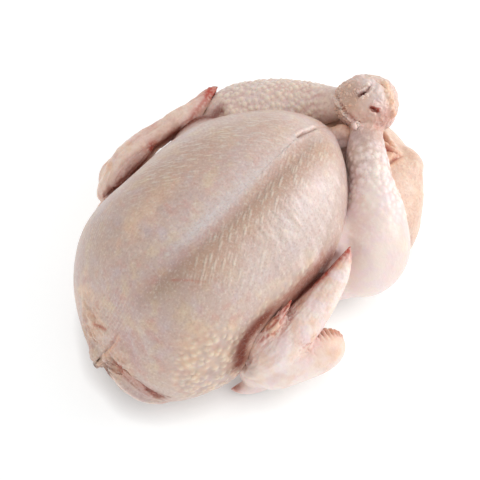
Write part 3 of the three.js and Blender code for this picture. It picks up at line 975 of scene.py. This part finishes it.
leg = bmesh.new()
far_thigh = limb_shape(
    [[-10, 62, 62], [28, 82, 56], [62, 92, 52]],
    [[0, 34, 34], [0.5, 40, 38], [1, 42, 40]],
)
far_drumstick = limb_shape(
    FAR_DRUMSTICK,
    [[0, 37, 37], [0.3, 44, 44], [0.5, 33, 33], [0.68, 24, 24], [0.85, 19, 19], [1, 20, 20]],
)
for part in (far_thigh, far_drumstick):
    add_rounded(leg, part, 3)
leg = Skin("far_leg", leg, 1.0)
leg.relax(20)
leg.tint(pale=0.55)
plucked = smooth(leg.spot((94, 68, 100), (48, 48, 26)), 0.1, 0.5)
tops = leg.pimples(rows_of_pores(far_drumstick, -0.6, 0.9, 7.5), 2.4, 1.5, plucked)
leg.tint(blood=0.3 * plucked * (1 - tops) * smooth(cloud(leg.p, 12, 15), -0.6, 0.3))
leg.tint(blood=0.2 * leg.spot((122, 28, 104), 18), milky=0.4 * leg.spot((58, 60, 90), (34, 20, 20)))
shadow = leg.line([(22, 112, 78), (40, 104, 88), (58, 92, 97)])
leg.tint(dusk=0.7 * beside(shadow, 9, -4))
# Painted shade, dark red, where the thigh runs under the far wing's edge.
under = leg.line([(12, 112, 74), (22, 110, 78), (31, 106, 84), (42, 100, 89), (54, 92, 95)])
leg.tint(blood=0.5 * beside(under, 9))
leg.tint(deep=0.8 * beside(under, 6) + 0.5 * leg.spot((30, 110, 76), (18, 14, 12)))
ring = leg.line([(129, 21, 114), (124, 11, 114), (121, 1, 110), (122, -7, 106)])
leg.push(1.5 * beside(ring, 2.2) - 1.0 * beside(ring, 2.2, 4))
leg.tint(pale=0.8 * beside(ring, 1.8))
# Painted shade in the grooves either side of the ring.
leg.tint(dusk=0.6 * beside(ring, 1.8, 3.6) + 0.6 * beside(ring, 1.8, -3.6))
leg.finish(150000)

# ------------------------------------------------------------------------------------------------
# Near wing, folded in three and laid open along the thigh: upper arm back along the table, forearm
# forward to the wrist, and hand back to its pointed red tip, with a small thumb on its inner edge.

wing = bmesh.new()
for spine, sizes, blunt in (
    (
        [[-90, -80, 20], [-74, -97, 17], [-40, -112, 17]],
        [[0, 12, 14], [0.5, 15, 15], [1, 15, 15]],
        4.0,
    ),
    (
        [[-8, -126, 27], [-38, -117, 31], [-68, -104, 34], [-90, -94, 30]],
        [[0, 18, 20], [0.4, 20, 21], [0.75, 22, 24], [1, 22, 24]],
        4.0,
    ),
    (
        [[-96, -91, 35], [-80, -97, 45], [-62, -101, 55], [-34, -102, 66], [-4, -99, 76]]
        + [[17, -95, 84], [37, -87, 91]],
        [[0, 18, 22], [0.3, 19, 20], [0.55, 15.5, 15], [0.77, 11.5, 10], [0.9, 8, 6], [1, 3, 3]],
        4.0,
    ),
    (
        [[-86, -92, 54], [-68, -92, 70], [-52, -91, 80], [-37, -89, 88]],
        [[0, 10, 10], [0.5, 7, 7], [0.8, 3.6, 4], [1, 1.6, 1.6]],
        3.0,
    ),
    (
        [[-84, -84, 36], [-56, -84, 54], [-30, -84, 60], [0, -82, 68], [20, -78, 74]],
        [[0, 9, 11], [0.5, 9, 11], [1, 7, 9]],
        4.0,
    ),
    (
        [[-104, -83, 5], [-97, -89, 6], [-87, -95, 6], [-64, -103, 6]],
        [[0, 2, 2], [0.25, 6, 5], [0.6, 8, 6], [1, 8, 6]],
        4.0,
    ),
):
    add_rounded(wing, limb_shape(spine, sizes, blunt))
wing = Skin("near_wing", wing, 0.75)
wing.relax(14)
x, z = wing.p[:, 0], wing.p[:, 2]
wing.tint(pale=0.95, smoothed=0.75)
hand = smooth(z, 44, 60)
bone = wing.line([(-92, -100, 62), (-66, -106, 71), (-36, -107, 80), (-6, -103, 88), (34, -92, 95)])
lines = 0.7 * strands(bone, 26, 4.0, 21) + 0.8 * strands(bone, 9, 1.6, 63)
wing.push(0.3 * hand * lines + 0.3 * hand * cloud(wing.p, 3.0, 64))
wing.tint(blood=0.1 * hand * smooth(-lines, 0.1, 0.9))
wing.tint(fat=0.4 * hand * smooth(cloud(wing.p, 12, 53), 0.0, 0.5))
wing.tint(fat=0.75 * wing.spot((-20, -132, 42), (22, 12, 16)))
wing.tint(blood=0.16 * wing.spot((-44, -126, 52), (20, 12, 20)))
wing.tint(fat=0.35 * smooth(cloud(wing.p, 10, 22), 0.0, 0.6))
wing.tint(blood=0.09 * smooth(cloud(wing.p, 9, 23), 0, 0.6))
# Painted shade, dark red, on the wing's inner side where it lies against the breast.
web = wing.line([(-85, -88, 50), (-57, -88, 66), (-31, -88, 72), (-1, -89, 77), (19, -86, 80)])
wing.tint(blood=0.55 * beside(web, 8), deep=0.9 * beside(web, 6))
wing.tint(milky=0.7 * wing.spot((-96, -98, 8), (10, 10, 8)))
wing.tint(blood=0.8 * wing.spot((-103, -90, 9), (6, 6, 7)))
tip = wing.line([(-40, -96, 76), (-19, -95, 81), (1, -95, 85), (16, -94, 88), (34, -92, 92)])
wing.tint(blood=0.85 * beside(tip, 3.6) * smooth(x, -36, 4) + 0.4 * smooth(x, 14, 34))
wing.tint(deep=0.6 * beside(tip, 2.5, 3) * smooth(x, -40, -10))
edge = wing.line([(-36, -108, 56), (-6, -108, 66), (16, -100, 76)])
wing.tint(fat=0.6 * beside(edge, 6))
dip = wing.line([(-30, -97, 80), (-48, -101, 74), (-66, -107, 62)])
wing.push(-1.2 * beside(dip, 3.5))
thumb = wing.line([(-74, -97, 73), (-54, -96, 84), (-39, -94, 90)])
wing.tint(blood=0.5 * beside(thumb, 4) * smooth(x, -74, -46))
wing.tint(blood=0.9 * wing.spot((-39, -94, 89), (7, 4, 4)))
quills = 2 * strands(thumb, 12, 1.5, 54)
wing.push(0.6 * beside(thumb, 11) * quills)
wing.tint(fat=0.4 * beside(thumb, 12), blood=0.55 * beside(thumb, 11) * smooth(quills, 0.1, -0.6))
# Painted shade in a hollow on the wrist and in the dips between its bumps.
hollow = wing.spot((-96, -103, 50), (7, 8, 11))
wing.tint(pale=-0.75 * hollow, dusk=0.9 * hollow, milky=0.5 * wing.spot((-94, -104, 46), (6, 6, 6)))
wrist = wing.spot((-92, -94, 50), (22, 18, 18))
wing.push(1.6 * wrist * (1 - 2 * np.abs(cloud(wing.p, 8, 24))))
wing.tint(dusk=0.5 * wrist * smooth(np.abs(cloud(wing.p, 8, 24)), 0.4, 0.9))
# A comb of ridges on the elbow's edge, with painted shade in the gaps between them.
comb = wing.line([(-34, -116, 46), (-22, -120, 44), (-8, -126, 41), (2, -132, 36)])
_, _, run = comb
teeth = np.sin(run * 2 * math.pi * 9)
wing.push(1.9 * teeth * beside(comb, 5.5))
wing.tint(pale=0.6 * beside(comb, 6) * smooth(teeth, 0.1, 0.8))
gaps = beside(comb, 5) * smooth(teeth, 0.3, -0.7)
wing.tint(pale=-0.75 * gaps, dusk=gaps, deep=0.3 * beside(comb, 4.5) * smooth(teeth, -0.2, -0.9))
wing.tint(blood=0.25 * beside(comb, 6, -2))
pits = smooth(cloud(wing.p, 3.2, 25), 0.25, 0.6) * wing.spot((-47, -124, 60), (13, 10, 13))
wing.push(-0.9 * pits)
# Red in the pits, and painted shade at the point of the pale tongue of skin against the body.
wing.tint(blood=0.35 * pits, deep=0.8 * wing.spot((-102, -91, 12), (5, 5, 4)))
wing.finish(150000)

# ------------------------------------------------------------------------------------------------
# Far wing, folded the same way but close and upright against the breast, so that only the edge of
# the forearm and hand shows above the table.

wing = bmesh.new()
for spine, sizes, blunt in (
    (
        [[-104, 80, 46], [-66, 104, 46], [-34, 110, 36], [10, 112, 28]],
        [[0, 20, 22], [0.4, 17, 18], [1, 16, 16]],
        4.0,
    ),
    (
        [[-59, 134, 53], [-30, 137, 50], [4, 138, 57], [40, 131, 67]],
        [[0, 13, 18], [0.4, 10, 13], [0.75, 7, 10], [1, 4, 6]],
        4.0,
    ),
    (
        [[-74, 121, 55], [-50, 125, 58], [-27, 128, 65], [8, 127, 72], [42, 121, 79], [79, 123, 87]],
        [[0, 13, 17], [0.25, 14, 17], [0.5, 10, 12], [0.8, 10, 10], [1, 3, 3]],
        3.4,
    ),
    (
        [[-60, 117, 65], [-33, 118, 73], [-6, 117, 80]],
        [[0, 8, 8], [0.6, 5.5, 5.5], [1, 2, 2.5]],
        3.0,
    ),
):
    add_rounded(wing, limb_shape(spine, sizes, blunt))
wing = Skin("far_wing", wing, 0.85)
wing.relax(14)
x = wing.p[:, 0]
wing.tint(smoothed=0.5)
wing.push(0.7 * cloud(wing.p, 13, 34) + 0.5 * cloud(wing.p, 5, 35))
wing.tint(pale=0.85, fat=0.45 + 0.35 * smooth(cloud(wing.p, 12, 36), 0, 0.5))
ridge = wing.line([(-50, 128, 72), (-26, 130, 75), (8, 128, 80), (42, 122, 85), (70, 121, 90)])
wing.push(2.0 * beside(ridge, 4) - 1.0 * beside(ridge, 3, 7))
ochre = wing.line([(-6, 140, 66), (20, 137, 72), (44, 130, 79), (60, 127, 84)])
wing.tint(fat=0.8 * beside(ochre, 4), blood=0.3 * beside(ochre, 3))
bone = wing.line([(-68, 124, 66), (-44, 131, 76), (-12, 132, 80), (28, 126, 84), (72, 121, 92)])
lines = 2 * strands(bone, 30, 4.0, 32)
wing.push(1.1 * lines)
wing.tint(pale=0.5 * smooth(lines, -0.1, 0.6), blood=0.25 * smooth(-lines, 0.3, 1.0))
red_edge = wing.line([(74, 117, 89), (60, 114, 88), (46, 111, 88), (32, 108, 83)])
wing.tint(blood=0.7 * beside(red_edge, 4))
wing.tint(blood=0.8 * smooth(x, 50, 74) + 0.14 * smooth(cloud(wing.p, 7, 33), 0, 0.6))
wing.tint(milky=0.6 * wing.spot((-36, 120, 72), (16, 8, 10)))
wing.tint(blood=0.95 * wing.spot((-9, 113, 80), (6, 5, 6)))
wing.tint(blood=0.4 * wing.spot((4, 128, 83), (7, 3, 6)))
# Painted shade, dark red, on the wing's inner side where it lies against the breast.
inner = wing.line(
    [(-72, 105, 60), (-62, 107, 66), (-48, 107, 71), (-34, 109, 72), (-16, 111, 73)]
    + [(2, 111, 74), (20, 109, 79)]
)
wing.tint(blood=0.5 * beside(inner, 8), deep=0.95 * beside(inner, 4.5))
wing.finish(130000)
